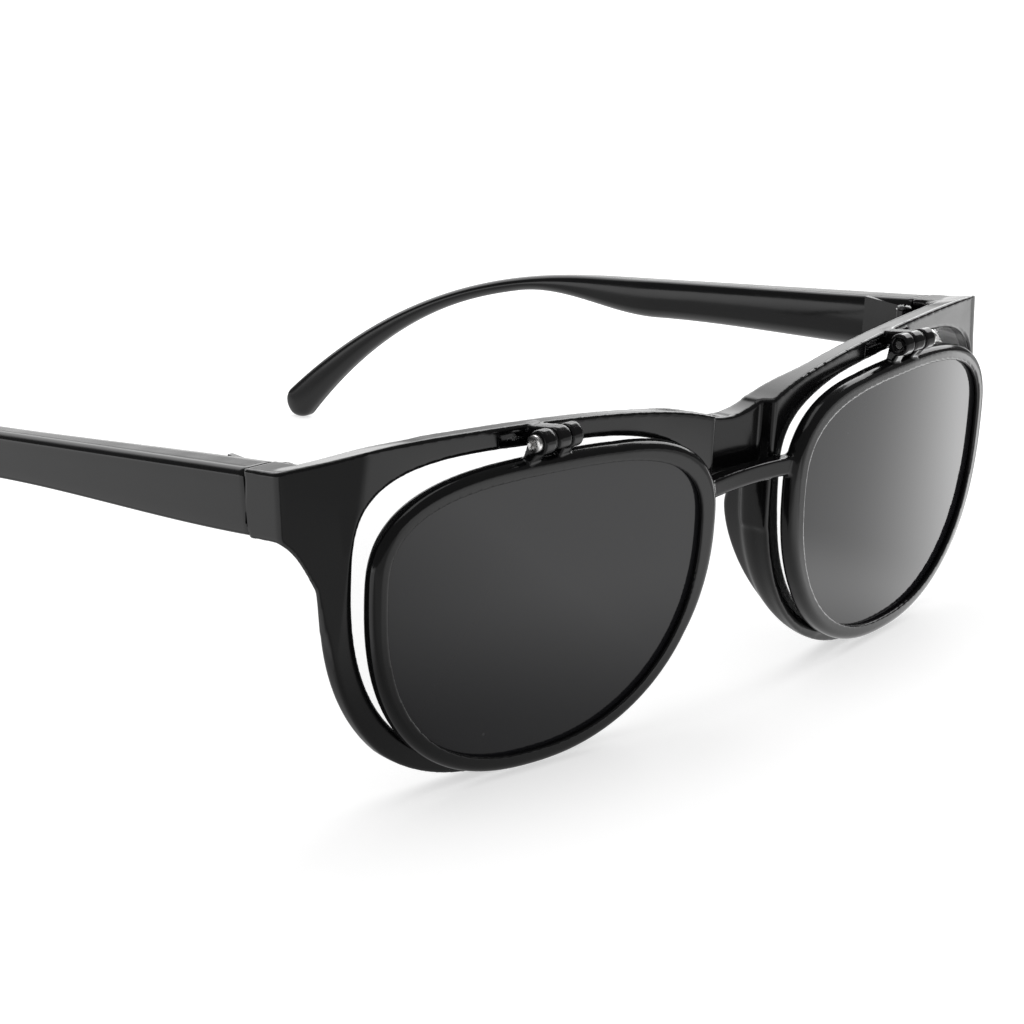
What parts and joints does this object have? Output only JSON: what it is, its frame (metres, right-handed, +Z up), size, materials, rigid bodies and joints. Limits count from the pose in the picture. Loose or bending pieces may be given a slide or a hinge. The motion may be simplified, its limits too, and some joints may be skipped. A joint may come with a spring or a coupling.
{
  "type": "flip-up dark glasses",
  "caption": "Glossy black spectacles with folding temples and a flip-up front that carries flat dark lenses on small screw hinges.",
  "frame": {"origin": "on the table, under the middle of the glasses, which stand on their rims and temple tips", "axes": "+X to the wearer's left, +Y from the lenses back along the temples, +Z up"},
  "size_m": [0.144, 0.1752, 0.0484],
  "materials": {
    "frame_plastic": "polished moulded black",
    "dark_lens": "polished dark grey filter",
    "clear_lens": "polished clear",
    "screw_steel": "bright turned",
    "hinge_steel": "blackened",
    "washer_nylon": "matt"
  },
  "bodies": {
    "front": {"front_frame": "frame_plastic", "clear_lens_right": "clear_lens", "clear_lens_left": "clear_lens", "front_leaf_right": "hinge_steel", "front_leaf_left": "hinge_steel", "temple_screw_right": "hinge_steel", "temple_screw_left": "hinge_steel"},
    "flip_front": {"flip_frame": "frame_plastic", "dark_lens_right": "dark_lens", "dark_lens_left": "dark_lens", "flip_screw_right": "screw_steel", "flip_screw_left": "screw_steel", "flip_nut_right": "hinge_steel", "flip_nut_left": "hinge_steel", "flip_washer_right": "washer_nylon", "flip_washer_left": "washer_nylon"},
    "right_temple": {"temple_right": "frame_plastic", "temple_leaf_right": "hinge_steel"},
    "left_temple": {"temple_left": "frame_plastic", "temple_leaf_left": "hinge_steel"}
  },
  "joints": [
    {"name": "flip_up", "type": "hinge", "parent": "front", "child": "flip_front", "pos_m": [0, -0.08503, 0.04675], "axis": [-1, 0, 0], "range_deg": [0, 95]},
    {"name": "fold_right_temple", "type": "hinge", "parent": "front", "child": "right_temple", "pos_m": [-0.0649, -0.0631, 0.04101], "axis": [0, 0.0684, -0.9977], "range_deg": [0, 90]},
    {"name": "fold_left_temple", "type": "hinge", "parent": "front", "child": "left_temple", "pos_m": [0.0649, -0.0631, 0.04101], "axis": [0, -0.0684, 0.9977], "range_deg": [0, 82]}
  ]
}
